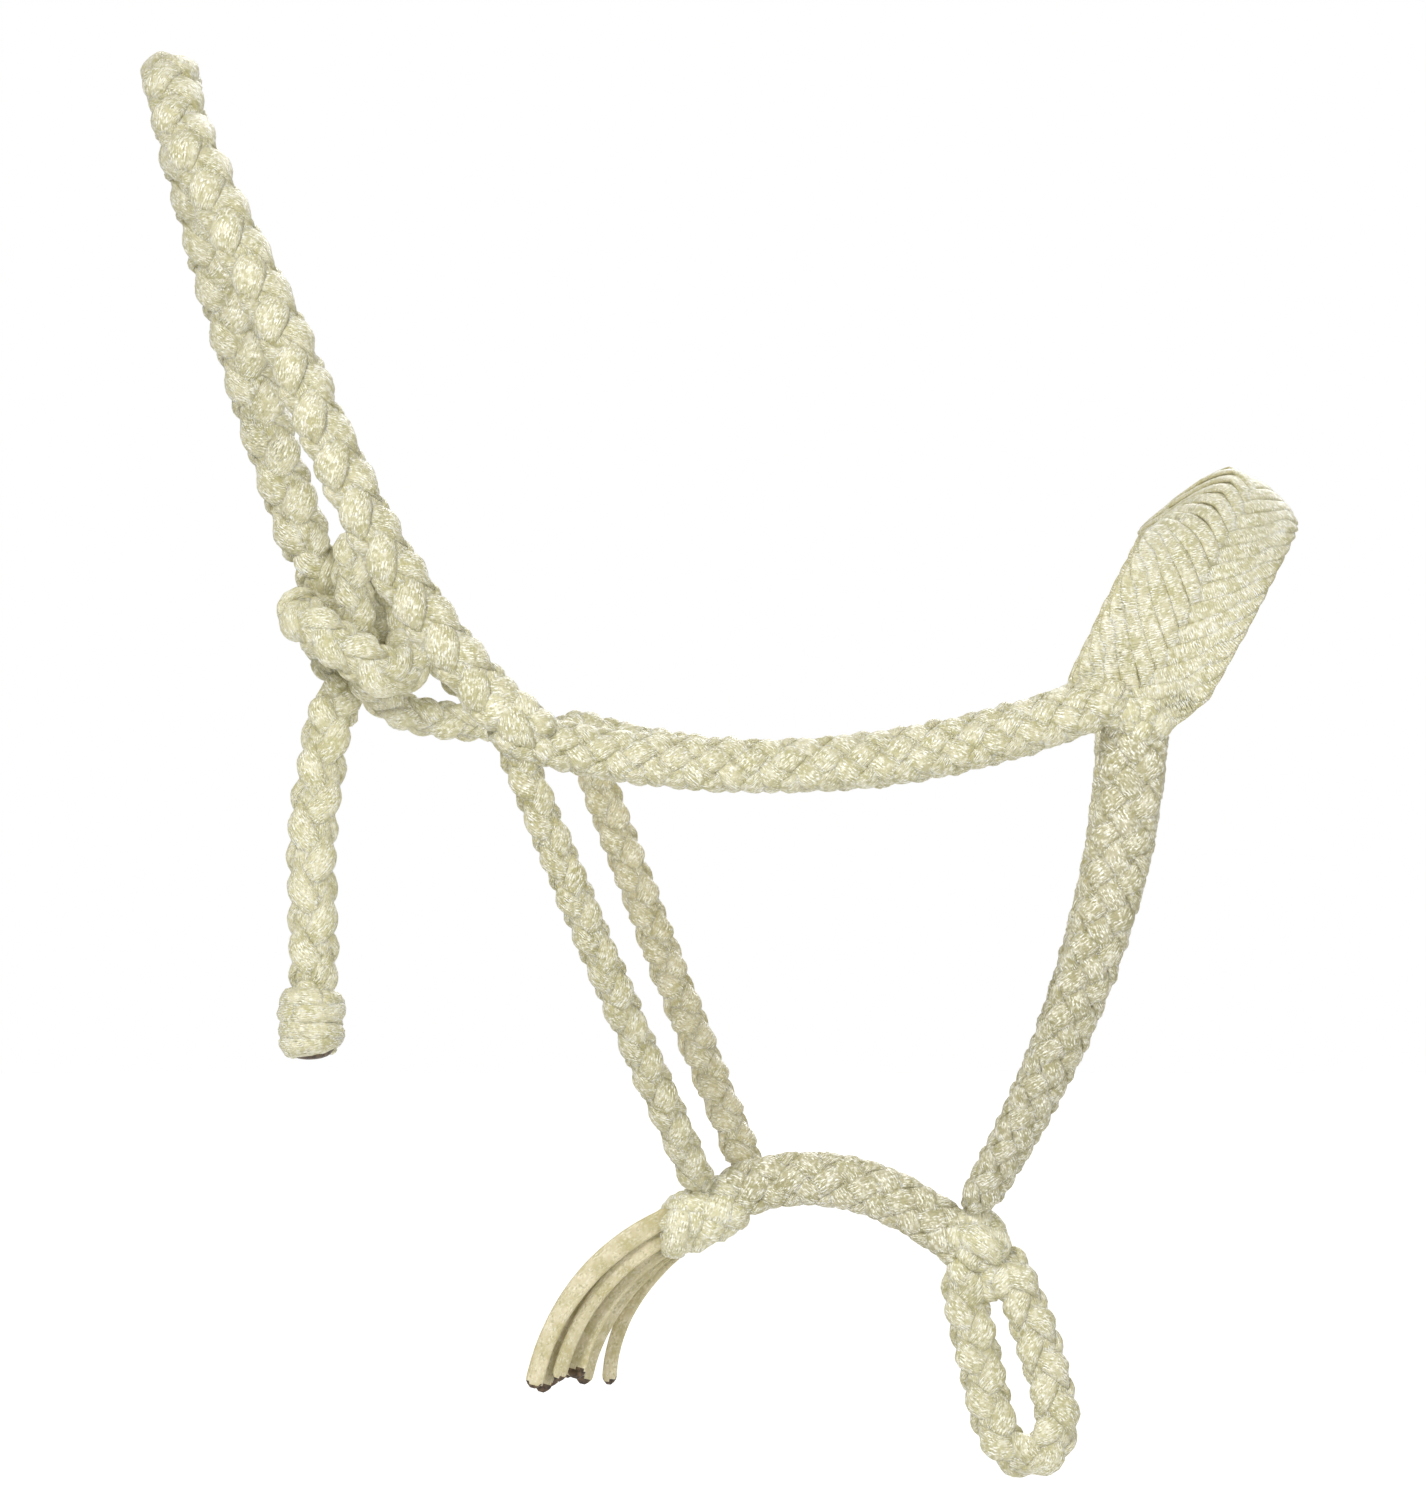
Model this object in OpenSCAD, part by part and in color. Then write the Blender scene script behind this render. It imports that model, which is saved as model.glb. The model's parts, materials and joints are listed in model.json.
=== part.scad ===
// Hand-braided rope halter in its worn shape, in millimetres.
// +X points to the nose, +Y to the horse's left, +Z up.
// The origin is the centre of the lead loop's inner bend, where a lead rope sits.

/* [Head size] */
// Half of the distance between the two cheek junctions under the ears
jowl_half = 82; // [76:1:88]
// Half of the distance between the two ends of the noseband
nose_half = 48; // [44:1:52]
// Height of the poll above the lead loop's seat
poll_z = 466; // [440:1:490]
// Distance of the poll behind the lead loop's seat
poll_back = 295; // [285:1:305]
// Height of the right cheek junction above the seat
jowl_z = 246; // [242:1:250]
// Distance of the right cheek junction behind the seat
jowl_back = 182; // [178:1:186]

/* [Nose and jaw] */
// Forward reach of the cheek's front end
nose_x = 34; // [30:1:38]
// Height of the cheek's front end
nose_z = 244; // [240:1:248]
// Length of the noseband from the cheek's end up to the bridge
nose_rise = 84; // [80:1:88]
// Lean of the noseband from vertical, in degrees
nose_lean = 27.5; // [24:0.5:31]
// Distance of the heel knot behind the seat
heel_back = 15; // [13:1:17]
// Height of the heel knot
heel_z = 62; // [61:1:66]
// Distance of the throat knot's rear end behind the seat
throat_back = 124; // [120:1:128]
// Height of the throat knot's rear end
throat_z = 67; // [65:1:69]

/* [Straps] */
// Width of an eight-strand strap
strap_w = 17; // [15:0.5:18]
// Thickness of an eight-strand strap
strap_t = 12; // [9:0.5:12]
// Width of a four-strand strap
cord_w = 13.5; // [11:0.5:14]
// Thickness of a four-strand strap
cord_t = 11; // [9:0.5:12]
// Width of the crown strap
crown_w = 18.5; // [15:0.5:19]
// Width of the plaited noseband
band_w = 41; // [36:1:44]
// Thickness of the plaited noseband
band_t = 6.5; // [5:0.5:7]
// Width of the chin strap where it leaves the noseband
chin_w = 22; // [18:0.5:22]
// Gap between the two halves of the noseband over the bridge
bridge_gap = 8; // [8:0.5:10]
// Gap between the two halves of the crown at the poll
poll_gap = 2.5; // [2:0.5:4]

/* [Knots] */
// Radius of the heel knot
heel_r = 11; // [9:0.5:11]
// Radius of the throat knot
throat_r = 11; // [9:0.5:11]
// Length of the throat knot between the centres of its rounded ends
throat_len = 19; // [16:1:20]
// Radius of the junction where crown, cheek and throat strap part
jowl_r = 10.5; // [9:0.5:11]
// Radius of the junction where noseband, cheek and chin strap meet
nose_r = 11; // [9:0.5:12]
// Radius of the junction that the tie loop grows from
tie_r = 8; // [7:0.5:8.5]
// Radius of the stopper knot on the crown's tail
stopper_r = 11; // [9:0.5:12]
// Radius of the melted end under the stopper knot
melted_r = 7; // [5:0.5:8]
// Height of the melted end
melted_h = 3; // [2:0.5:4]

/* [Lead loop] */
// Radius of the loop's inner bend
seat_r = 5; // [4:0.5:6]
// Thickness of the loop's braid, from inside to outside
loop_t = 12.5; // [10:0.5:13]
// Width of the loop's braid
loop_w = 12; // [10:0.5:13]
// Width of the flat land on the loop's inner wall
seat_len = 6; // [4:1:8]
// Length of the loop's straight legs
leg_len = 44; // [40:1:44]
// Lean of the loop away from vertical, in degrees
loop_lean = 13.3; // [12:0.1:14.5]
// Radius of the loop's neck
neck_r = 4.5; // [3:0.5:5]

/* [Crown tail] */
// Length of the tail's upper part
tail_top = 56; // [50:1:58]
// Length of the tail's lower part
tail_end = 26; // [22:1:30]

/* [Fringe] */
// Number of loose tape ends at the throat
tapes = 8; // [8:1:8]
// Width of a folded tape
tape_w = 6.5; // [5:0.5:7]
// Thickness of a folded tape
tape_t = 2.4; // [1.5:0.1:2.8]
// Distance between neighbouring tapes
tape_pitch = 3.4; // [3.2:0.1:4]

/* [Hidden] */

sides = 12;
spans = 5;
cream = [0.87, 0.85, 0.73];
shade = [0.78, 0.76, 0.64];
scorched = [0.33, 0.23, 0.13];

// Side of the head: -1 is the horse's right, 1 its left.
right = -1;
left = 1;

// Places where straps meet.
heel = [-heel_back, 0, heel_z];
throat_rear = [-throat_back, 0, throat_z];
throat_front = throat_rear + throat_len * [0.95, 0, 0.31];
jowl = [-jowl_back, -jowl_half, jowl_z];
tie = jowl + [16, 2 * jowl_half, -11];
poll = [-poll_back, 0, poll_z];
tail_pin = [-jowl_back - 58, jowl_half + 2, jowl_z];
tail_joint = tail_pin - [8, 0, tail_top + 12];
neck_pin = heel + 16.3 * [sin(loop_lean), 0, -cos(loop_lean)];
function nose(side) = [nose_x, side * nose_half, nose_z];

// Points that straps face away from: the middle of the head, and the middle of the nose.
head_axis = [0, 0, 190];
nose_axis = [0, 0, nose_z - 14];

// Facing of straps that lie flat in, or beside, the head's middle plane.
sideways = [0, -1, 0];

// Gap that keeps neighbouring solids apart.
clear = 0.5;

function unit(v) = v / norm(v);

// Shallow arc from a to b that stands off the straight line by off at its middle.
function bow(a, b, off) = [for (i = [0:4]) let (f = i / 4) a + (b - a) * f + off * 4 * f * (1 - f)];

// Smooth curve through the points p.
function between(a, b, c, d, t) =
    0.5 * (2 * b + (c - a) * t + (2 * a - 5 * b + 4 * c - d) * t ^ 2 + (3 * b - a - 3 * c + d) * t ^ 3);
function curve(p) = let (last = len(p) - 1) [
    for (i = [0:last - 1])
        for (k = [0:spans - 1])
            between(p[max(i - 1, 0)], p[i], p[i + 1], p[min(i + 2, last)], k / spans),
    p[last]
];

// Outward direction of a strap at point c: away from an axis along X, or one fixed direction.
function outward(c, axis_point, fixed) =
    is_undef(fixed) ? [0, c.y - axis_point.y, c.z - axis_point.z] : fixed;

// Ring of points round c on a strap that runs along t, with its flat side towards out.
function ring(c, t, out, w, h, n) =
    let (across = unit(cross(t, out)), face = cross(across, t))
    [for (k = [0:n - 1]) c + across * w / 2 * cos(360 * k / n) + face * h / 2 * sin(360 * k / n)];

// Braided strap as a closed tube through the points p. The path runs between the centres of its
// rounded ends. The width changes evenly from w to w_end.
module strap(p, w, h, w_end = undef, axis_point = head_axis, out = undef, n = sides) {
    line = curve(p);
    last = len(line) - 1;
    cap = h / 2;
    end_w = is_undef(w_end) ? w : w_end;
    way = [for (i = [0:last]) unit(line[min(i + 1, last)] - line[max(i - 1, 0)])];
    start_rings = [for (a = [30, 60])
        ring(line[0] - way[0] * cap * cos(a), way[0], outward(line[0], axis_point, out),
            w * sin(a), h * sin(a), n)];
    body_rings = [for (i = [0:last])
        ring(line[i], way[i], outward(line[i], axis_point, out), w + (end_w - w) * i / last, h, n)];
    end_rings = [for (a = [60, 30])
        ring(line[last] + way[last] * cap * cos(a), way[last], outward(line[last], axis_point, out),
            end_w * sin(a), h * sin(a), n)];
    rings = concat(start_rings, body_rings, end_rings);
    count = len(rings);
    tip = count * n;
    points = concat([for (r = rings) each r], [line[0] - way[0] * cap, line[last] + way[last] * cap]);
    wall = [for (i = [0:count - 2]) for (k = [0:n - 1])
        let (a = i * n + k, b = i * n + (k + 1) % n) each [[a, b, b + n], [a, b + n, a + n]]];
    caps = [for (k = [0:n - 1]) let (b = (k + 1) % n)
        each [[tip, b, k], [tip + 1, tip - n + k, tip - n + b]]];
    polyhedron(points, concat(wall, caps));
}

// Round knot.
module ball(c, r) {
    translate(c) sphere(r, $fn = 32);
}

// ---- Jaw ----

module jaw_strap() {
    from = throat_front + [16, 0, 8.5];
    to = heel + [-17.5, 0, 6.5];
    color(cream) strap(bow(from, to, [0, 0, 6]), strap_w, strap_t, out = sideways);
}

module heel_knot() {
    color(shade) ball(heel, heel_r);
}

module throat_knot() {
    run = throat_front - throat_rear;
    color(shade) translate(throat_rear) rotate([0, 90 - atan2(run.z, run.x), 0]) union() {
        cylinder(h = norm(run), r = throat_r, $fn = 32);
        sphere(throat_r, $fn = 32);
        translate([0, 0, norm(run)]) sphere(throat_r, $fn = 32);
    }
}

// ---- Side panels ----

// Cheek from the crown junction at from to the noseband junction.
module cheek(from, side) {
    start = from + [20, side * -1, -6];
    stop = nose(side) + [-20, side * 1, 2];
    color(cream) strap(bow(start, stop, [0, side * 2, -15.5]), strap_w, strap_t);
}

// Chin strap from the noseband junction down to the heel knot.
module chin_strap(side) {
    start = nose(side) + [1.5, side * 1, -20];
    stop = heel + [0.5, side * 13, 20];
    color(cream) strap(bow(start, stop, [10, side * 9, 0]), chin_w, strap_t * 0.85, cord_w);
}

// Throat strap from the crown junction at from down to the throat knot. It ends ahead of the
// knot's middle by the length ahead.
module throat_strap(from, side, ahead) {
    middle = (throat_rear + throat_front) / 2;
    start = from + [5, side * -1, -19];
    stop = middle + [ahead, side * 12, 18];
    color(side == right ? cream : shade)
        strap(bow(start, stop, [-1, side * 12, 0]), cord_w, cord_t * 0.9);
}

module right_cheek() {
    cheek(jowl, right);
}

module left_cheek() {
    cheek(tie + [0, 0, 6], left);
}

module right_chin_strap() {
    chin_strap(right);
}

module left_chin_strap() {
    chin_strap(left);
}

module right_throat_strap() {
    throat_strap(jowl, right, 4);
}

module left_throat_strap() {
    throat_strap(tie + [4, 0, 3], left, 14);
}

module right_nose_junction() {
    color(shade) ball(nose(right), nose_r);
}

module left_nose_junction() {
    color(shade) ball(nose(left), nose_r);
}

module left_tie_junction() {
    color(shade) ball(tie, tie_r);
}

// ---- Noseband ----

// Point of the noseband at height s along its lean and y across the head.
function band_point(s, y) = [nose_x + s * sin(nose_lean), y, nose_z + s * cos(nose_lean)];

module noseband(side) {
    top = bridge_gap / 2 + band_t / 2;
    color(cream) strap([
        band_point(17, side * nose_half),
        band_point(nose_rise * 0.5, side * (nose_half + 2)),
        band_point(nose_rise * 0.8, side * nose_half * 0.76),
        band_point(nose_rise * 0.96, side * nose_half * 0.42),
        band_point(nose_rise, side * top)
    ], band_w, band_t, axis_point = nose_axis);
}

module noseband_right() {
    noseband(right);
}

module noseband_left() {
    noseband(left);
}

// ---- Crown and tie ----

module right_crown_junction() {
    color(shade) ball(jowl, jowl_r);
}

// Height of the poll above the right junction; the crown's legs are set out along it.
crown_rise = poll_z - jowl_z;

module crown_right() {
    top = [0, -(poll_gap + cord_t) / 2, 0];
    color(cream) strap([
        jowl + [-13, 0, 15],
        jowl + [-42, -1, crown_rise * 0.25],
        jowl + [-68, 6, crown_rise * 0.5],
        jowl + [-96, 26, crown_rise * 0.76],
        poll + [4, -30, -crown_rise * 0.095],
        poll + top
    ], crown_w, cord_t);
}

module crown_left() {
    top = [0, (poll_gap + cord_t) / 2, 0];
    color(shade) strap([
        poll + top,
        poll + [2, 30, -crown_rise * 0.095],
        poll + [10, 56, -crown_rise * 0.25],
        poll + [25, 74, -crown_rise * 0.46],
        poll + [46, jowl_half, -crown_rise * 0.74]
    ], crown_w, cord_t);
}

// Thin closed loop that grows from the left junction; the crown is tied through it.
module tie_loop() {
    color(cream) strap([
        tie + [-12, 7, 13],
        tie + [-42, 8, 37],
        tie + [-59, 7, 67],
        tie + [-68, -1, 62],
        tie + [-67, -6, 40],
        tie + [-62, -7, 19],
        tie + [-46, -7, 9],
        tie + [-17, -6, 4]
    ], 9.5, 8, out = sideways);
}

// Turn of the crown round the tie loop: behind, through, and back across the front.
module tie_turn() {
    color(cream) strap([
        tie + [-80, 4, 55],
        tie + [-70, 9, 42],
        tie + [-54, 4, 31],
        tie + [-46, -8, 22],
        tie + [-56, -18, 22],
        tie + [-74, -17, 32],
        tie + [-87, -9, 42],
        tie + [-88, 2, 38],
        tie + [-81, 5, 28]
    ], 12, 7.5, out = sideways);
}

// ---- Tail of the crown ----

module tail_neck() {
    color(cream) ball(tail_pin, 6);
}

module tail_upper() {
    color(cream) strap(bow(tail_pin - [1, 0, 13], tail_joint + [0, 0, 8], [-1, 0, 0]), crown_w * 0.85, cord_t,
        out = sideways);
}

module tail_lower() {
    color(cream) strap(bow(tail_joint - [0, 0, 8], tail_joint - [0, 0, tail_end], [0, 0, 0]),
        crown_w * 0.85, cord_t, out = sideways);
}

// Lower tip of the tail's braid.
tail_foot = tail_joint - [0, 0, tail_end + cord_t / 2 + clear];

module stopper_knot() {
    color(cream) ball(tail_foot - [0, 0, stopper_r], stopper_r);
}

module melted_end() {
    drop = 2 * stopper_r + clear + melted_h;
    color(scorched) translate(tail_foot - [0, 0, drop]) cylinder(h = melted_h, r = melted_r, $fn = 32);
}

// ---- Lead loop ----

module lead_loop_neck() {
    color(shade) ball(neck_pin, neck_r);
}

// Flattened section of the loop's braid: flat on the inner wall, round on the outer corners.
module loop_section() {
    corner = (loop_w - seat_len) / 2;
    translate([seat_r, 0]) union() {
        translate([0, -seat_len / 2]) square([loop_t, seat_len]);
        translate([corner, -loop_w / 2]) square([loop_t - 2 * corner, loop_w]);
        for (x = [corner, loop_t - corner]) for (y = [-1, 1])
            translate([x, y * seat_len / 2]) circle(corner, $fn = 24);
    }
}

module lead_loop() {
    color(cream) rotate([0, -loop_lean, 0]) union() {
        rotate([90, 0, 0]) rotate([0, 0, 180]) rotate_extrude(angle = 180, $fn = 64) loop_section();
        for (turn = [0, 180]) rotate([0, 0, turn]) linear_extrude(leg_len) loop_section();
    }
}

// ---- Fringe ----

// Order of the tape ends from rear to front, so that neighbours fan apart.
fan = [0, 3, 1, 5, 2, 6, 4, 7];

// Distance of a tape's upper end from the swing axis in the throat knot.
root_r = 15;

module fringe_tape(i) {
    spread = fan[i] / (tapes - 1);
    y = (i - (tapes - 1) / 2) * tape_pitch;
    start = root_r * [-cos(30 + 38 * spread), 0, -sin(30 + 38 * spread)];
    stop = [-47 + 26 * spread, 0, -54 + 2 * spread];
    color(i % 2 == 0 ? cream : shade)
        strap([for (q = bow(start, stop, [-3.5 + 3 * spread, 0, -1])) throat_rear + q + [0, y, 0]],
            tape_w, tape_t, out = sideways, n = 8);
}

jaw_strap();
heel_knot();
throat_knot();
right_cheek();
right_chin_strap();
right_throat_strap();
right_nose_junction();
left_cheek();
left_chin_strap();
left_throat_strap();
left_nose_junction();
left_tie_junction();
noseband_right();
noseband_left();
right_crown_junction();
crown_right();
crown_left();
tie_loop();
tie_turn();
tail_neck();
tail_upper();
tail_lower();
stopper_knot();
melted_end();
lead_loop_neck();
lead_loop();
fringe_tape(0);  // fringe_tape_1
fringe_tape(1);  // fringe_tape_2
fringe_tape(2);  // fringe_tape_3
fringe_tape(3);  // fringe_tape_4
fringe_tape(4);  // fringe_tape_5
fringe_tape(5);  // fringe_tape_6
fringe_tape(6);  // fringe_tape_7
fringe_tape(7);  // fringe_tape_8
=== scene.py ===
import json
import math
import bpy
import numpy as np
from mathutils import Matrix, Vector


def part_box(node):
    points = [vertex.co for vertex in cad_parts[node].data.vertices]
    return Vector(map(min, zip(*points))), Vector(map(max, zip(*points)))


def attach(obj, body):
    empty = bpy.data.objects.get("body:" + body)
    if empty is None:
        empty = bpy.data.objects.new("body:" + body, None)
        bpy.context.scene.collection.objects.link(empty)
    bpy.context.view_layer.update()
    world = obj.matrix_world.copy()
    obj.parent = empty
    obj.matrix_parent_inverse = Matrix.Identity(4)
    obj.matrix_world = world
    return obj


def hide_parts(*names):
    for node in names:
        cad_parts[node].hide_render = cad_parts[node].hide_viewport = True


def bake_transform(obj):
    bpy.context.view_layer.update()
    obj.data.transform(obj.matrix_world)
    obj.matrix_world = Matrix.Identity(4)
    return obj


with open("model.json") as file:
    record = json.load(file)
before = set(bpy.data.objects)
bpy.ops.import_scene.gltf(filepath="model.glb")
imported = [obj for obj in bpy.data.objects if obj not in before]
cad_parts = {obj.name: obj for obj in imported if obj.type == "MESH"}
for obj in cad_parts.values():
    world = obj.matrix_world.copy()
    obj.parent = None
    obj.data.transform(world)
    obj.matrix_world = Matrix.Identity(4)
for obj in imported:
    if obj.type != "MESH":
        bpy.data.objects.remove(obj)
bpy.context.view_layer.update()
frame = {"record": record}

# All lengths in this script are millimetres, in the part's own frame. Meshes are written in metres.
MM = 0.001
SIDEWAYS = np.array([0.0, -1.0, 0.0])
RIGHT, LEFT = -1, 1

# Height of the middle of the head that the halter is worn on.
HEAD_MIDDLE = 190

# Points round a tape's section, and how far each lies towards the tape's two edges (0 to 1).
RING = 14
ROUND = np.arange(RING) * 2 * math.pi / RING - math.pi / 2
TO_EDGE = np.abs(np.cos(ROUND))

# Share of a tape's full size at its last three steps before each end.
END_TAPER = np.array([0.3, 0.68, 0.92])

# Share of its size that a strap loses at each end, and how far from the end that is felt.
DRAWN_IN = 0.42
END_REACH = 4.5

# Shift of the weave's coordinate from one seed to the next, so that no two tapes look alike.
WEAVE_SHIFT = 53.0


# ---- Places, taken from the frame ----

def centre(node):
    """Middle of a CAD node's box."""
    low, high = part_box(node)
    return (np.array(low) + np.array(high)) / 2 / MM


def pivot(joint):
    """Place of a joint's axis."""
    for entry in frame["record"]["behaviour"]["joints"]:
        if entry["name"] == joint:
            return np.array(entry["pos_m"], float) / MM
    raise KeyError(joint)


HEEL = centre("heel_knot")
THROAT = centre("throat_knot")
NOSE = {RIGHT: centre("right_nose_junction"), LEFT: centre("left_nose_junction")}
JOWL = centre("right_crown_junction")
TIE = centre("left_tie_junction")
POLL = pivot("poll_fold")
BRIDGE = pivot("bridge_fold")
TAIL_PIN = centre("tail_neck")
TAIL_JOINT = pivot("tail_curl")
STOPPER = centre("stopper_knot")
MELTED = centre("melted_end")
NECK = centre("lead_loop_neck")
FRINGE = pivot("fringe_swing")


# ---- Curves ----

def at(*xyz):
    return np.array(xyz, float)


def unit(a):
    return a / np.maximum(np.linalg.norm(a, axis=-1, keepdims=True), 1e-9)


def distance_along(line):
    """Distance from the line's first point to each of its points."""
    return np.concatenate([[0], np.cumsum(np.linalg.norm(np.diff(line, axis=0), axis=1))])


def smooth(points, step=1.25):
    """Even steps along a smooth curve through the points."""
    p = np.array(points, float)
    p = np.vstack([2 * p[0] - p[1], p, 2 * p[-1] - p[-2]])
    t = np.linspace(0, 1, 25)[:-1, None]
    rows = []
    for a, b, c, d in zip(p[:-3], p[1:-2], p[2:-1], p[3:]):
        rows.append(0.5 * (2 * b + (c - a) * t + (2 * a - 5 * b + 4 * c - d) * t ** 2
                           + (3 * b - a - 3 * c + d) * t ** 3))
    fine = np.vstack(rows + [p[-2:-1]])
    length = distance_along(fine)
    even = np.linspace(0, length[-1], max(int(length[-1] / step), 4))
    return np.stack([np.interp(even, length, fine[:, k]) for k in range(3)], axis=1), even


def bow(a, b, off, count=7):
    """Points on a shallow arc from a to b that stands off the straight line by off."""
    f = np.linspace(0, 1, count)[:, None]
    return a + (b - a) * f + np.array(off, float) * 4 * f * (1 - f)


def around_head(p):
    """Outward direction of straps that lie round the head, away from a line through its middle."""
    return np.stack([0 * p[:, 0], p[:, 1], p[:, 2] - HEAD_MIDDLE], axis=1)


def sideways(p):
    """Outward direction of straps that lie flat beside the head's middle plane."""
    return np.tile(SIDEWAYS, (len(p), 1))


def wander(s, seed, period):
    """Smooth change between -1 and 1 along s, the same every run."""
    a = 2 * math.pi * s / period
    return (0.5 * np.sin(a + 1.7 * seed) + 0.3 * np.sin(1.73 * a + 4.1 * seed)
            + 0.2 * np.sin(2.9 * a + 2.3 * seed))


# ---- Mesh of one piece, gathered from tapes ----

def rounded_ends(size, count):
    """Half width or half thickness at each of count steps, drawn in at both ends."""
    size = np.broadcast_to(size, count).copy()
    size[:3] *= END_TAPER
    size[-3:] *= END_TAPER[::-1]
    return size


def creases(s, seed):
    """Shallow lengthwise folds that wander round a tape, as a factor on its thickness."""
    wide = np.sin(3 * ROUND[None, :] + 2.0 * wander(s, seed + 5, 31)[:, None])
    narrow = np.sin(5 * ROUND[None, :] + 3.0 * wander(s, seed + 9, 13)[:, None])
    return 1 + 0.06 * wide + 0.05 * narrow


class Piece:
    """Collects closed tapes into one mesh, with the weave's coordinates and a cavity value that sets the
    strength of the painted shade.
    """

    def __init__(self, name):
        self.name = name
        self.verts, self.faces, self.uvs, self.cavity = [], [], [], []
        self.count = 0

    def tape(self, line, face, half_w, half_t, cavity, power=0.9, seed=0):
        """Closed flattened tube along line whose broad side looks towards face."""
        steps = len(line)
        half_w = rounded_ends(half_w, steps)
        half_t = rounded_ends(half_t, steps)
        along = unit(np.gradient(line, axis=0))
        across = unit(np.cross(along, face))
        face = np.cross(across, along)
        s = distance_along(line)
        out_w = half_w[:, None] * np.sign(np.cos(ROUND)) * TO_EDGE ** power
        out_t = half_t[:, None] * np.sign(np.sin(ROUND)) * np.abs(np.sin(ROUND)) ** power * creases(s, seed)
        out = across[:, None, :] * out_w[:, :, None] + face[:, None, :] * out_t[:, :, None]
        self.verts.extend(((line[:, None, :] + out).reshape(-1, 3), line[[0, -1]]))
        cavity = np.broadcast_to(cavity, (steps, RING))
        self.cavity.extend((cavity.reshape(-1), cavity[[0, -1], 0]))
        girth = 3.4 * (half_w.mean() + half_t.mean())
        self.cover(s, WEAVE_SHIFT * seed + girth * np.arange(RING + 1) / RING)

    def cover(self, s, around):
        """Faces of the tape just added, its sides and then its ends, with places along and round it."""
        base, steps = self.count, len(s)
        for i in range(steps - 1):
            row, ahead = base + i * RING, base + (i + 1) * RING
            for k in range(RING):
                b = (k + 1) % RING
                self.faces.append((row + k, row + b, ahead + b, ahead + k))
                self.uvs.extend(((s[i], around[k]), (s[i], around[k + 1])))
                self.uvs.extend(((s[i + 1], around[k + 1]), (s[i + 1], around[k])))
        first = base + steps * RING
        row = first - RING
        for k in range(RING):
            b = (k + 1) % RING
            self.faces.append((base + b, base + k, first))
            self.faces.append((row + k, row + b, first + 1))
            self.uvs.extend(((0, around[k + 1]), (0, around[k]), (0, around[k])))
            self.uvs.extend(((s[-1], around[k]), (s[-1], around[k + 1]), (s[-1], around[k])))
        self.count = first + 2

    def build(self, material):
        mesh = bpy.data.meshes.new(self.name)
        verts = np.vstack(self.verts) * MM
        mesh.from_pydata(verts.tolist(), [], self.faces)
        layer = mesh.uv_layers.new(name="tape")
        layer.data.foreach_set("uv", np.array(self.uvs, np.float32).reshape(-1))
        attribute = mesh.attributes.new("cavity", "FLOAT", "POINT")
        attribute.data.foreach_set("value", np.concatenate(self.cavity).astype(np.float32))
        mesh.polygons.foreach_set("use_smooth", np.ones(len(self.faces), bool))
        mesh.update()
        obj = bpy.data.objects.new(self.name, mesh)
        bpy.context.scene.collection.objects.link(obj)
        mesh.materials.append(material)
        return obj


# ---- Braids ----

# Half width and half thickness of a strand, its swing in and out, the angle between the two ways
# round, how far a strand swings towards the strap's length where it lies on top, and the strap's
# length for one turn. All lengths are for a strap 15 mm wide and thick.
STRANDS = {
    4: {"half_w": 4.7, "half_t": 2.4, "swing": 1.05, "offset": math.pi / 2, "lean": 0.18, "lay": 36.0},
    8: {"half_w": 3.6, "half_t": 1.9, "swing": 0.85, "offset": 0.0, "lean": 0.05, "lay": 52.0},
}
NOMINAL = 15.0

# Depth of the full core below the outside of such a strap. It keeps the grooves shallow.
CORE_DEPTH = 1.75


def strap_size(s, wide, thick, wide_end, knotted):
    """Width and thickness along a strap, domed like a knot or drawn in where its ends are tucked away."""
    f = s / s[-1]
    w = wide + ((wide if wide_end is None else wide_end) - wide) * f
    if knotted:
        dome = 1 - 0.5 * np.abs(2 * f - 1) ** 3
    else:
        dome = 1 - DRAWN_IN * (np.exp(-(s / END_REACH) ** 2) + np.exp(-((s[-1] - s) / END_REACH) ** 2))
    return w * dome, thick * dome


def strand_turns(kind, strands, j, s, lay, seed):
    """Angle of strand j round its strap, and how far it lies on top (1) or underneath (-1)."""
    half = strands // 2
    way = 1 if j < half else -1
    start = 2 * math.pi * (j % half) / half + (kind["offset"] if way < 0 else 0)
    q = 2 * half * s / lay - half * kind["offset"] / (2 * math.pi)
    slip = 0.13 * wander(s, seed + 3.1 * j, 47)
    phi = way * 2 * math.pi * s / lay - kind["lean"] * np.sin(math.pi * q) + start + slip
    return phi, way * np.cos(math.pi * q)


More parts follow.
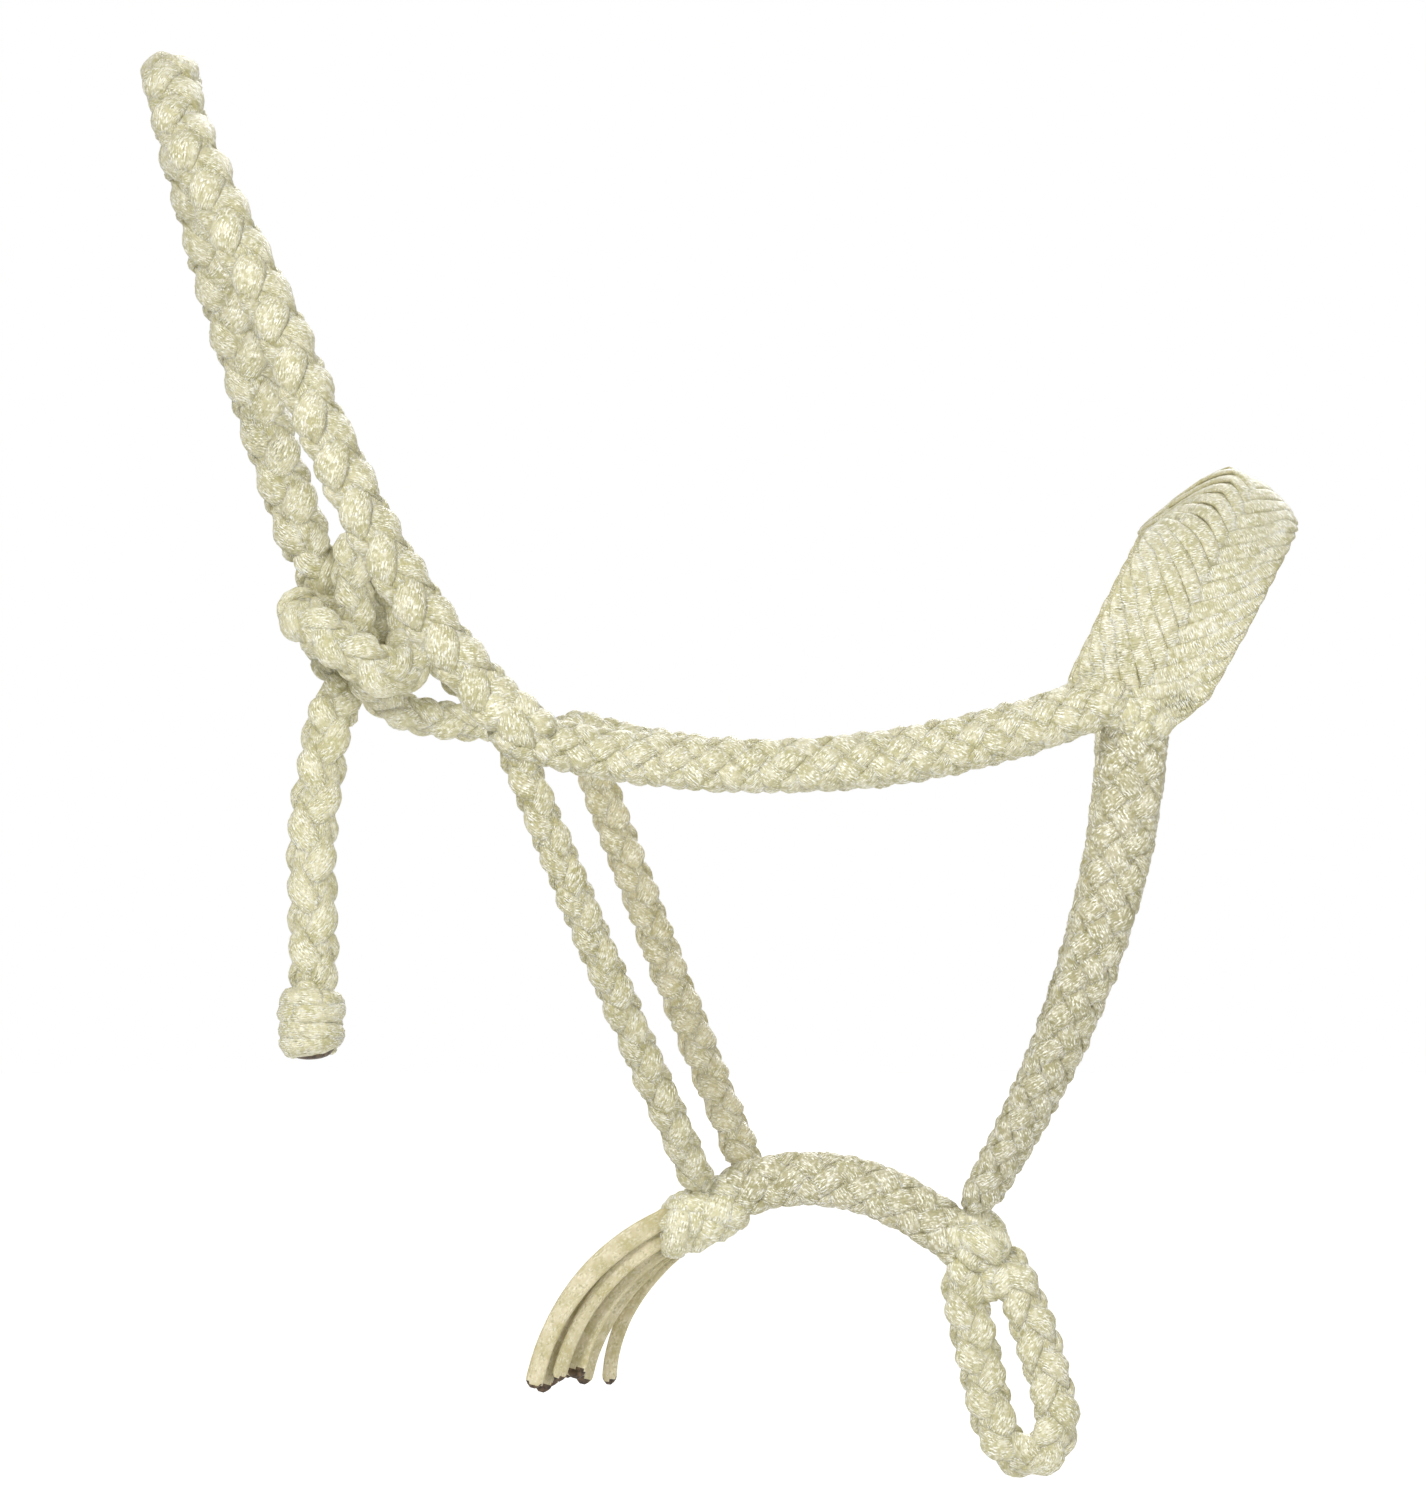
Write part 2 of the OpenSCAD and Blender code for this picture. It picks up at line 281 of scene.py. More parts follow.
def braid(piece, points, wide, thick, outward, strands=4, lay=None, seed=0, wide_end=None, knotted=False):
    """Round braid of half the strands one way and half the other, each over one and under one."""
    line, s = smooth(points)
    w, t = strap_size(s, wide, thick, wide_end, knotted)
    along = unit(np.gradient(line, axis=0))
    across = unit(np.cross(along, outward(line)))
    face = np.cross(across, along)
    kind = STRANDS[strands]
    size = (w + t) / (2 * NOMINAL)
    depth = (kind["half_t"] + kind["swing"]) * size
    a, b = np.maximum(w / 2 - depth, 0.4), np.maximum(t / 2 - depth, 0.4)
    core_w, core_t = w / 2 - CORE_DEPTH * size, t / 2 - CORE_DEPTH * size
    # The core gets painted shade of strength 0.45 all over.
    piece.tape(line, face, core_w, core_t, 0.45, power=1.0, seed=seed + 9)
    for j in range(strands):
        phi, over = strand_turns(kind, strands, j, s, lay or kind["lay"], seed)
        lift = kind["swing"] * size * over + 0.22 * wander(s, seed + 1.3 * j, 19)
        c, d = np.cos(phi)[:, None], np.sin(phi)[:, None]
        place = line + across * c * (a + lift)[:, None] + face * d * (b + lift)[:, None]
        normal = unit(across * c * b[:, None] + face * d * a[:, None])
        grow = size * (1 + 0.10 * over + 0.07 * wander(s, seed + 2.2 * j, 23))
        # How deep each side of the tape lies under the braid's outer skin, which sets the strength of its
        # painted shade.
        low = 0.5 - 0.5 * over
        cavity = np.clip(low[:, None] * 0.62 + 0.28 * TO_EDGE[None, :] ** 4, 0, 1)
        piece.tape(place, normal, kind["half_w"] * grow, kind["half_t"] * grow, cavity, 0.88, seed + j)


def wrap(piece, middle, axis, radius, half_w, half_t, tilt=0.0, seed=0):
    """One turn of tape round axis, tilted by so many millimetres from one side to the other."""
    axis = unit(np.array(axis, float))
    side = unit(np.cross(axis, SIDEWAYS))
    front = np.cross(side, axis)
    turn = np.linspace(0, 2 * math.pi * 1.06, 64)[:, None] + seed
    out = side * np.cos(turn) + front * np.sin(turn)
    line = middle + out * (radius - half_t) + axis * tilt / 2 * np.cos(turn - seed * 0.5)
    wide = half_w * (1 + 0.08 * wander(turn[:, 0] * radius, seed, 17))
    # Painted shade towards the tape's edges.
    piece.tape(line, out, wide, half_t, 0.05 + 0.5 * TO_EDGE ** 3, power=1.0, seed=seed)


# ---- Materials ----

class Shader:
    """Small helper that adds and joins a material's nodes."""

    def __init__(self, name):
        self.material = bpy.data.materials.new(name)
        self.material.use_nodes = True
        self.nodes = self.material.node_tree.nodes
        self.links = self.material.node_tree.links
        self.bsdf = self.nodes["Principled BSDF"]

    def node(self, kind, **values):
        made = self.nodes.new(kind)
        for key, value in values.items():
            setattr(made, key, value)
        return made

    def feed(self, value, socket):
        """Gives a socket a number, a colour or another node's output."""
        if isinstance(value, (int, float)):
            socket.default_value = value
        elif isinstance(value, tuple):
            socket.default_value = (*value, 1.0)
        else:
            self.links.new(value, socket)

    def calc(self, operation, a, b=0.0, clamp=False):
        made = self.node("ShaderNodeMath", operation=operation, use_clamp=clamp)
        self.feed(a, made.inputs[0])
        self.feed(b, made.inputs[1])
        return made.outputs[0]

    def mix(self, factor, a, b):
        """Colour a where factor is 0 and colour b where it is 1."""
        made = self.node("ShaderNodeMix", data_type="RGBA")
        self.feed(factor, made.inputs[0])
        self.feed(a, made.inputs[6])
        self.feed(b, made.inputs[7])
        return made.outputs[2]

    def noise(self, scale, detail, place=None):
        made = self.node("ShaderNodeTexNoise")
        made.inputs["Scale"].default_value = scale
        made.inputs["Detail"].default_value = detail
        self.links.new(place or self.node("ShaderNodeTexCoord").outputs["Object"], made.inputs["Vector"])
        return made.outputs[0]

    def drawn_out(self, run, side, length, width, shift):
        """Noise whose spots are of the given length along run and width along side."""
        place = self.node("ShaderNodeCombineXYZ")
        self.feed(self.calc("DIVIDE", run, length), place.inputs[0])
        self.feed(self.calc("DIVIDE", side, width), place.inputs[1])
        self.feed(shift, place.inputs[2])
        return self.noise(1.0, 1.0, place.outputs[0])

    def above(self, value, start, gain):
        """0 below start, then rising with the given gain up to 1."""
        return self.calc("MULTIPLY", self.calc("SUBTRACT", value, start), gain, True)

    def bump(self, height, strength, distance):
        made = self.node("ShaderNodeBump")
        made.inputs["Strength"].default_value = strength
        made.inputs["Distance"].default_value = distance
        self.links.new(height, made.inputs["Height"])
        self.links.new(made.outputs[0], self.bsdf.inputs["Normal"])


# Size of one thread of the weave, along itself and across, and the spacing of its rows; painted highlights
# and painted shade on threads take this size.
THREAD_LENGTH = 1.2
THREAD_WIDTH = 0.5
ROW = 0.8

# Colours of the painted highlights on threads, of the painted shade on threads, of grime, and of the
# painted shade in the deep hollows.
PAINTED_GLEAM = (1.0, 0.985, 0.86)
THREAD_SHADE = (0.36, 0.33, 0.17)
GRIME = (0.20, 0.19, 0.09)
HOLLOW_SHADE = (0.40, 0.35, 0.13)


def weave_rows(sh, side):
    """Soft rows of thread across the tape: 0 between two rows, 1 on a row."""
    return sh.calc("ABSOLUTE", sh.calc("SINE", sh.calc("MULTIPLY", side, math.pi / ROW)))


def tone_and_painted_gleam(sh, light, run, side, glints):
    """Base colour: duller in clouds and along stretches of a tape, with painted highlights in small pale
    blotches.
    """
    dull = (light[0] * 0.76, light[1] * 0.755, light[2] * 0.60)
    stretch = sh.drawn_out(run, side, 9.0, 40.0, 20.0)
    tone = sh.mix(sh.above(sh.noise(170.0, 3.0), 0.42, 5.0), light, dull)
    tone = sh.mix(sh.calc("MULTIPLY", sh.above(stretch, 0.42, 6.0), 0.5), tone, dull)
    # Painted highlights in small blotches.
    blotch = sh.above(sh.noise(560.0, 3.0), 0.50, 7.0)
    return sh.mix(sh.calc("MULTIPLY", blotch, glints * 0.48), tone, PAINTED_GLEAM)


def grime_and_painted_shade(sh, tone, dark, fine, grime):
    """Adds grime in patches, and painted warm shade in the hollows between tapes, as strong as the cavity
    value.
    """
    dirt = sh.calc("MULTIPLY", sh.above(sh.noise(75.0, 3.0), 0.60, 7.0), grime)
    dirt = sh.calc("MULTIPLY", dirt, sh.above(dark, 0.46, 9.0))
    tone = sh.mix(dirt, tone, GRIME)
    # Painted shade: warm khaki where the cavity value is high, between strands and tapes.
    hollow = sh.node("ShaderNodeAttribute", attribute_name="cavity").outputs["Fac"]
    deep = sh.calc("MULTIPLY", sh.calc("POWER", hollow, 1.6), 0.45)
    deep = sh.calc("MULTIPLY", deep, sh.calc("ADD", sh.calc("MULTIPLY", fine, 0.8), 0.6), True)
    return sh.mix(deep, tone, HOLLOW_SHADE)


def polyester(sh, glint):
    """Soft sheen of polyester, glossier where the threads gleam, with a little light inside."""
    rough = sh.calc("SUBTRACT", 0.46, sh.calc("MULTIPLY", glint, 0.16))
    sh.links.new(rough, sh.bsdf.inputs["Roughness"])
    sh.bsdf.inputs["Specular IOR Level"].default_value = 0.5
    sh.bsdf.inputs["Sheen Weight"].default_value = 0.08
    sh.bsdf.inputs["Sheen Roughness"].default_value = 0.4
    sh.bsdf.inputs["Subsurface Weight"].default_value = 0.25
    sh.bsdf.inputs["Subsurface Radius"].default_value = (1.0, 0.9, 0.55)
    sh.bsdf.inputs["Subsurface Scale"].default_value = 0.0014


def tape_material(name, light, glints=1.0, grime=0.5, relief=0.85, across=False):
    """Woven polyester tape: painted highlights on short threads in patches, soft sheen, grime in patches
    and painted shade in the hollows.
    """
    sh = Shader(name)
    split = sh.node("ShaderNodeSeparateXYZ")
    sh.links.new(sh.node("ShaderNodeUVMap", uv_map="tape").outputs[0], split.inputs[0])
    run, side = split.outputs[0], split.outputs[1]
    tone = tone_and_painted_gleam(sh, light, run, side, glints)
    if across:
        run, side = side, run
    bright = sh.drawn_out(run, side, THREAD_LENGTH, THREAD_WIDTH, 0.0)
    dark = sh.drawn_out(run, side, THREAD_LENGTH, THREAD_WIDTH, 60.0)
    rows = weave_rows(sh, side)
    patch = sh.noise(430.0, 2.0)
    fine = sh.noise(900.0, 2.0)

    # Threads get painted highlights in patches, and other threads there get painted shade; between the
    # patches the tape is smooth and duller.
    glint = sh.calc("MULTIPLY", sh.above(bright, 0.46, 9.0), sh.above(patch, 0.41, 8.0))
    glint = sh.calc("MULTIPLY", glint, sh.above(rows, 0.12, 2.2))
    tone = sh.mix(sh.calc("MULTIPLY", glint, glints), tone, PAINTED_GLEAM)
    shade = sh.calc("MULTIPLY", sh.above(dark, 0.54, 9.0), sh.above(patch, 0.40, 6.0))
    tone = sh.mix(sh.calc("MULTIPLY", shade, 0.65), tone, THREAD_SHADE)
    sh.links.new(grime_and_painted_shade(sh, tone, dark, fine, grime), sh.bsdf.inputs["Base Color"])
    polyester(sh, glint)

    weave = sh.calc("ADD", sh.calc("MULTIPLY", bright, 2.4), sh.calc("MULTIPLY", rows, 0.5))
    sh.bump(sh.calc("ADD", weave, sh.calc("MULTIPLY", fine, 0.9)), relief, 0.0003)
    return sh.material


def melted_material():
    """Scorched, melted polyester: dark brown, glossy in places, pitted."""
    sh = Shader("melted_polyester")
    pits = sh.noise(700.0, 4.0)
    tone = sh.mix(sh.above(pits, 0.35, 3.0), (0.022, 0.014, 0.008), (0.17, 0.11, 0.055))
    sh.links.new(tone, sh.bsdf.inputs["Base Color"])
    sh.bsdf.inputs["Roughness"].default_value = 0.38
    sh.bump(pits, 0.6, 0.0004)
    return sh.material


# Finishes of the tape in each kind of piece, from its clean colour in linear red, green and blue. Several
# are lit and shaded copies of one tape: the darker copies on the lower straps and both throat straps are
# painted shade, and the lighter copy on the knots, junctions, tie and tail is painted light.
BRAID = tape_material("braided_tape", (0.65, 0.61, 0.405))
SHADED_LOWER = tape_material("shaded_lower_braided_tape", (0.525, 0.485, 0.315))
THROAT_TAPE = tape_material("shaded_throat_strap_tape", (0.60, 0.555, 0.34))
PLAIT = tape_material("plaited_tape", (0.68, 0.64, 0.44), glints=1.0, grime=1.0, relief=0.8, across=True)
KNOT = tape_material("knotted_tape", (0.72, 0.68, 0.46))
SHADED = tape_material("shaded_left_braided_tape", (0.64, 0.58, 0.38), glints=0.75)
LOOSE = tape_material("loose_tape", (0.64, 0.57, 0.38), glints=0.25, grime=0.10, relief=0.35)
MELT = melted_material()


def finish_piece(piece, material, body, nodes, blend=None):
    """Builds a piece, gives it its finish and hangs it on its body, or, given a blend, leaves it unparented
    where it is.
    """
    obj = piece.build(material)
    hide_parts(*nodes)
    if blend:
        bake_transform(obj)
    else:
        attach(obj, body)
    return obj


# ---- Straps ----

def cheek(side, start, body, node):
    piece = Piece(node + "_braid")
    stop = NOSE[side] + at(0, 0, 7)
    line = bow(start, stop, (0, side * 2, -19))
    braid(piece, line, 17.6, 13.5, around_head, 8, seed=2 + side, wide_end=21.8)
    finish_piece(piece, BRAID, body, [node])


def chin_strap(side, body, node):
    piece = Piece(node + "_braid")
    start = NOSE[side] + at(2.5, 0, 1)
    stop = HEEL + at(-4.5, side * 5, 9)
    line = bow(start, stop, (12.6, side * 11, 0))
    braid(piece, line, 24, 12, around_head, 8, seed=7 + side, wide_end=16.2)
    finish_piece(piece, SHADED_LOWER, body, [node])


def throat_strap(side, start, stop, material, name):
    piece = Piece(name + "_throat_strap_braid")
    line = bow(start, stop, (-1, side * 14, 0))
    braid(piece, line, 13, 11, around_head, 4, lay=30, seed=11 + side)
    finish_piece(piece, material, name + "_side", [name + "_throat_strap"])


def jaw_strap():
    piece = Piece("jaw_strap_braid")
    line = bow(THROAT + at(8, 0, 5.5), HEEL + at(-2, 0, -6.5), (0, 0, 15.6))
    braid(piece, line, 19, 13.5, sideways, 8, seed=17)
    finish_piece(piece, SHADED_LOWER, "jaw", ["jaw_strap"])


def crown():
    piece = Piece("crown_braid")
    rise = POLL[2] - JOWL[2]
    right_leg = [JOWL + at(18, 0, -13), JOWL + at(0, -1, 0), JOWL + at(-20.6, -2, 25),
                 JOWL + at(-40.8, -1, 56), JOWL + at(-59.6, 3, 94), JOWL + at(-77, 13, 134),
                 JOWL + at(-94.5, 29, 169), POLL + at(4.7, -30, -22)]
    left_leg = [POLL + at(2.6, 30, -22), POLL + at(10.6, 56, -rise * 0.25),
                POLL + at(23.8, 74, -rise * 0.46), POLL + at(38, 81, -rise * 0.66), TIE + at(-83, 2, 62)]
    way = right_leg + [POLL + at(-1, 0, -1.5)] + left_leg
    braid(piece, way, 19.3, 14.5, around_head, 4, seed=23)
    reach = at(0, 45, 0)
    finish_piece(piece, BRAID, None, ["crown_right", "crown_left"],
                 blend=("crown_right", "crown_left", POLL - reach, POLL + reach))


def tie_turn():
    """The crown goes behind the tie loop, comes up through it and crosses its own front."""
    piece = Piece("tie_turn_braid")
    way = [TIE + at(-83, 1, 68), TIE + at(-78, 5, 53), TIE + at(-67, 9, 44), TIE + at(-55, 5, 38),
           TIE + at(-49, -4, 34), TIE + at(-47.5, -15, 27), TIE + at(-54, -21, 22), TIE + at(-65, -22, 27),
           TIE + at(-77, -19, 35), TIE + at(-86, -10, 42), TIE + at(-85, 0, 43), TIE + at(-77, 8, 33),
           TIE + at(-73.5, 5, 20)]
    braid(piece, way, 17, 12, sideways, 4, seed=29)
    finish_piece(piece, KNOT, "crown_left", ["tie_turn"])


def tie_loop():
    piece = Piece("tie_loop_braid")
    way = [TIE + at(-2, 3, 2), TIE + at(-17, 5, 11), TIE + at(-31, 6, 21), TIE + at(-42, 7, 34),
           TIE + at(-52, 7, 48), TIE + at(-60, 5, 61), TIE + at(-68, 0, 65), TIE + at(-68.5, -4, 56),
           TIE + at(-67, -7, 44), TIE + at(-65.5, -7, 30), TIE + at(-61, -6, 17), TIE + at(-49, -5, 8.5),
           TIE + at(-33, -4, 5.5), TIE + at(-16, -3, 5), TIE + at(-2, -2, 0)]
    braid(piece, way, 13.5, 10.5, sideways, 4, lay=31, seed=31)
    finish_piece(piece, KNOT, "crown_left", ["tie_loop"])


def tail():
    piece = Piece("tail_braid")
    way = [TAIL_PIN + at(-1, 0, 4), TAIL_PIN + at(-5, 0, -20), TAIL_PIN + at(-8.5, 0, -48),
           TAIL_JOINT + at(0, 0, -4), TAIL_JOINT + at(0, 0, -20), STOPPER + at(0, 0, 8)]
    braid(piece, way, 17, 13, sideways, 4, lay=42, seed=37)
    reach = at(0, 0, 14)
    finish_piece(piece, KNOT, None, ["tail_upper", "tail_lower"],
                 blend=("tail_upper", "tail_lower", TAIL_JOINT + reach, TAIL_JOINT - reach))


def tail_neck():
    """Short knotted stretch where the crown comes out of the tie and becomes its tail."""
    neck = Piece("tail_neck_wrap")
    way = [TAIL_PIN + at(2, 0, 11), TAIL_PIN + at(1, 0, 2), TAIL_PIN + at(-1, 0, -7)]
    braid(neck, way, 16, 12, sideways, 4, lay=22, seed=3, knotted=True)
    finish_piece(neck, KNOT, "tail_neck", ["tail_neck"])


def stopper_knot():
    """Two bulges, each of two turns of tape that cross on the slant."""
    knot = Piece("stopper_knot_wraps")
    core = [STOPPER + at(-0.5, 0, 15), STOPPER, STOPPER + at(0, 0, -10)]
    braid(knot, core, 21, 18, sideways, 4, lay=20, seed=5, knotted=True)
    turns = ((7.5, 11.4, 0.22), (4.5, 12.2, -0.10), (-3.0, 11.9, 0.12), (-5.5, 11.6, -0.16))
    for seed, (height, radius, lean) in enumerate(turns, 1):
        middle = STOPPER + at(-0.6, 0, height)
        wrap(knot, middle, (lean, 0, 1), radius, 4.6, 4.6, tilt=12 * lean, seed=seed)
    finish_piece(knot, KNOT, "tail_lower", ["stopper_knot"])


def melted_tail_end():
    """Rings of melted tape, each inside and below the one before, that face down and outwards."""
    end = Piece("melted_tail_end")
    for k in range(4):
        turn = np.linspace(0, 2 * math.pi * 1.04, 48)[:, None] + 1.7 * k
        out = at(1, 0, 0) * np.cos(turn) + at(0, 0.92, 0.38) * np.sin(turn)
        ring = MELTED + at(-1.2, 0.5, 5.2 - 0.8 * k + 0.1 * k * k) + out * (7.2 - 2.0 * k)
        end.tape(ring, at(0, -0.38, -0.92) + out * (0.8 - 0.2 * k), 2.1, 1.5, 0.2, seed=k)
    finish_piece(end, MELT, "tail_lower", ["melted_end"])


# ---- Noseband ----

# Width of the band, number of tapes in its plait, width and thickness of one tape, and the band's
# length over which a tape crosses from one edge to the other.
BAND_W = 47.5
BAND_TAPES = 15
BAND_TAPE_W = 6.5
BAND_TAPE_T = 2.2
BAND_CROSSING = 62.0

# Farthest that a tape's middle gets from the middle of the band.
BAND_REACH = (BAND_W - BAND_TAPE_W) / 2


def band_directions():
    """Unit vectors up along the side of the nose and across the band, towards its front."""
    lean = math.atan2(BRIDGE[0] - NOSE[RIGHT][0], BRIDGE[2] - NOSE[RIGHT][2])
    return at(math.sin(lean), 0, math.cos(lean)), at(math.cos(lean), 0, -math.sin(lean))


def band_edges(s):
    """Places of the rear and front edge, across the band, at the distance s from its end."""
    rear = -BAND_W / 2 + 0.7 * np.clip(2 - s, 0, 20) + 0.04 * np.clip(30 - s, 0, 30)
    front = BAND_W / 2 - 0.42 * np.clip(17 - s, 0, 20) - 0.03 * np.clip(45 - s, 0, 45)
    return rear, front


def band_course(up, across):
    """Middle line of the band over the nose, its distances and the way that its outer face looks."""
    rise = float(np.linalg.norm((BRIDGE - NOSE[RIGHT])[[0, 2]]))
    half = abs(NOSE[RIGHT][1])

    def spot(s, y):
        return at(NOSE[RIGHT][0], y, NOSE[RIGHT][2]) + up * s

    right = [spot(-4, -half + 2), spot(14, -half - 1), spot(rise * 0.3, -half - 2.5),
             spot(rise * 0.52, -half - 2), spot(rise * 0.78, -half * 0.78), spot(rise * 0.95, -half * 0.42)]
    line, s = smooth(right + [spot(rise, 0)] + [p * at(1, -1, 1) for p in reversed(right)], 0.9)
    face = unit(np.cross(across, unit(np.gradient(line, axis=0))))
    return line, s, face * np.sign((face @ up).sum())


def averaged(values, pad):
    """Running average that keeps the values' count."""
    window = 2 * pad + 1
    return np.convolve(np.pad(values, pad, mode="edge"), np.ones(window) / window, mode="valid")


def bridge_shape(side, from_top):
    """Height that the bend over the bridge adds, and its slope across the band.

    The band is crowned there, and its rear edge hangs lower.
    """
    crowned = np.exp(-(from_top / 22) ** 2)
    hanging = np.exp(-(from_top / 42) ** 2)
    corner = np.clip(-side - 0.15, 0, 1)
    height = (6 * (1 - side ** 2) + 1.2 * side) * crowned - 31 * corner ** 1.5 * hanging
    slope = (-12 * side * crowned + 46 * corner ** 0.5 * hanging) / BAND_REACH
    return height, slope


def painted_bend_shade(side, from_top):
    """Painted shade beside the bend over the bridge, and at the rear where the inside shows."""
    front = 0.35 * np.exp(-((from_top - 14) / 12) ** 2)
    return front + 0.8 * np.exp(-((from_top + 9) / 8) ** 2) * np.clip(-1.5 * side, 0, 1)


def noseband():
    """Flat herringbone plait of fifteen tapes, bent over the bridge of the nose."""
    up, across = band_directions()
    line, s, face = band_course(up, across)
    from_top = s - s[-1] / 2
    # The far half lies a little behind the near half where the band bends over the bridge.
    near_top = np.exp(-(from_top / 30) ** 2)
    line = line - across * (1.6 * (1 + np.tanh(from_top / 6)) * near_top + 0.1)[:, None]
    rear, front = band_edges(np.minimum(s, s[-1] - s) - 4)
    front = front - 1.6 * np.exp(-(from_top / 7) ** 2)
    middle, spread = (rear + front) / 2, (front - rear) / BAND_W
    piece = Piece("noseband_plait")
    for j in range(BAND_TAPES):
        # A tape runs to and fro across the band like a folded line.
        fold = (s / BAND_CROSSING + 2 * j / BAND_TAPES) % 2
        side = np.sin((np.where(fold < 1, fold, 2 - fold) - 0.5) * math.pi)
        turn = averaged(np.where(fold < 1, 1.0, -1.0), 4)
        # Falling tapes lie on top in the rear column, rising tapes in the front one.
        lift = averaged(-turn * np.tanh(6 * (0.12 - side)), 3)
        height, slope = bridge_shape(side, from_top)
        offset = middle + BAND_REACH * side * spread
        bulge = lift + 0.25 * wander(s, j, 21)
        place = line + across * offset[:, None] + face * bulge[:, None] + up * height[:, None]
        normal = face - across * (slope * (face @ up))[:, None]
        # Painted shade on tapes that lie underneath, beside the bend over the bridge and along each tape's
        # edges.
        dull = 0.18 * (1 - lift) + painted_bend_shade(side, from_top)
        cavity = np.clip(dull[:, None] + 1.1 * TO_EDGE[None, :] ** 5, 0, 1)
        half_w = BAND_TAPE_W / 2 * (0.6 + 0.4 * spread) * (1 + 0.06 * wander(s, 2 * j, 17))
        half_t = BAND_TAPE_T / 2 * (1.4 - 0.4 * spread)
        piece.tape(place, normal, half_w, half_t, cavity, power=0.85, seed=j)
    reach_y = at(0, 34, 0)
    finish_piece(piece, PLAIT, None, ["noseband_right", "noseband_left"],
                 blend=("nose_right", "nose_left", BRIDGE - reach_y, BRIDGE + reach_y))


# ---- Knots and junctions ----

def heel_knot():
    piece = Piece("heel_knot_wraps")
    core = [HEEL + at(-10, 0, 7.5), HEEL + at(-2, 0, -1.5), HEEL + at(2, 0, -10)]
    braid(piece, core, 22.5, 20, sideways, 8, lay=40, seed=3, knotted=True)
    # One broad tape crosses the knot on the slant, front and back.
    wrap(piece, HEEL + at(-1.5, 0, -1), (0.57, 0, 0.82), 11.2, 4.4, 1.7, seed=4)
    finish_piece(piece, KNOT, "jaw", ["heel_knot"])


def throat_knot():
    piece = Piece("throat_knot_wraps")
    core = [THROAT + at(-11, 0, -9), THROAT + at(-4, 0, -3.5), THROAT + at(6, 0, 2),
            THROAT + at(17, 0, 6.5)]
    braid(piece, core, 21, 19, sideways, 8, lay=44, seed=6, wide_end=25, knotted=True)
    wrap(piece, THROAT + at(-6, 0, -4), (0.98, 0, -0.2), 11.2, 4.4, 2.0, seed=2)
    finish_piece(piece, KNOT, "jaw", ["throat_knot"])


def junction(node, points, wide, thick, strands, lay, body, seed):
    """Place where braids part, worked as a short swelling of the braid itself."""
    piece = Piece(node + "_weave")
    braid(piece, points, wide, thick, around_head, strands, lay=lay, seed=seed, knotted=True)
    finish_piece(piece, KNOT, body, [node])


def junctions():
    for side, name in ((RIGHT, "right"), (LEFT, "left")):
        way = [NOSE[side] + at(-15, 0, 2), NOSE[side] + at(-5, 0, 2),
               NOSE[side] + at(4, 0, -2), NOSE[side] + at(8, 0, -12)]
        junction(name + "_nose_junction", way, 20, 15, 8, 40, name + "_side", side)
    crown_way = [JOWL + at(-13, 0, 11), JOWL, JOWL + at(15, 0, -9)]
    junction("right_crown_junction", crown_way, 19, 15.5, 4, 27, "crown_pivot", 3)
    tie_way = [TIE + at(-11, 0, 5), TIE, TIE + at(11, 0, -2)]
    junction("left_tie_junction", tie_way, 15, 13, 4, 23, "left_side", 4)


# ---- Lead loop ----

def lead_loop():
    lean = math.atan2(-HEEL[0], HEEL[2])
    across, up = at(math.cos(lean), 0, math.sin(lean)), at(-math.sin(lean), 0, math.cos(lean))
    # Places across and up the loop: its rear leg, its bend and its front leg.
    rear_leg = [(-6, 59.5), (-9.8, 53), (-11.4, 42), (-11.6, 26), (-11.8, 8)]
    bend = [(-10.6, -4), (-6.2, -11), (-0.5, -12.6), (4.8, -11), (9.2, -4)]
    front_leg = [(10.2, 8), (9.4, 26), (7.8, 41), (5.0, 52), (0.4, 58.5)]
    way = [across * x + up * z for x, z in rear_leg + bend + front_leg]
    piece = Piece("lead_loop_braid")
    braid(piece, way, 15.8, 12.5, sideways, 4, lay=31, seed=41)
    finish_piece(piece, BRAID, "lead_loop", ["lead_loop"])


def lead_loop_neck():
    neck = Piece("lead_loop_neck_wrap")
    core = [NECK + at(-2, 0, 9), NECK + at(0, 0, 1), NECK + at(1.5, 0, -5)]
    braid(neck, core, 16, 13, sideways, 4, lay=20, seed=9, knotted=True)
    finish_piece(neck, KNOT, "loop_neck", ["lead_loop_neck"])


# ---- Fringe ----

FRINGE_TAPES = 8


def fringe():
    """Loose folded tapes that fan out from the throat knot, cut and melted at their tips."""
    boxes = [[np.array(c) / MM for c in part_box(f"fringe_tape_{i + 1}")] for i in range(FRINGE_TAPES)]
    tips = [low[0] for low, high in boxes]
    for i, (low, high) in enumerate(boxes):
        # 0 for the tape that hangs farthest to the rear, 1 for the one farthest to the front.
        spread = (tips[i] - min(tips)) / (max(tips) - min(tips))
        fringe_tape(i, low, (low[1] + high[1]) / 2, spread)


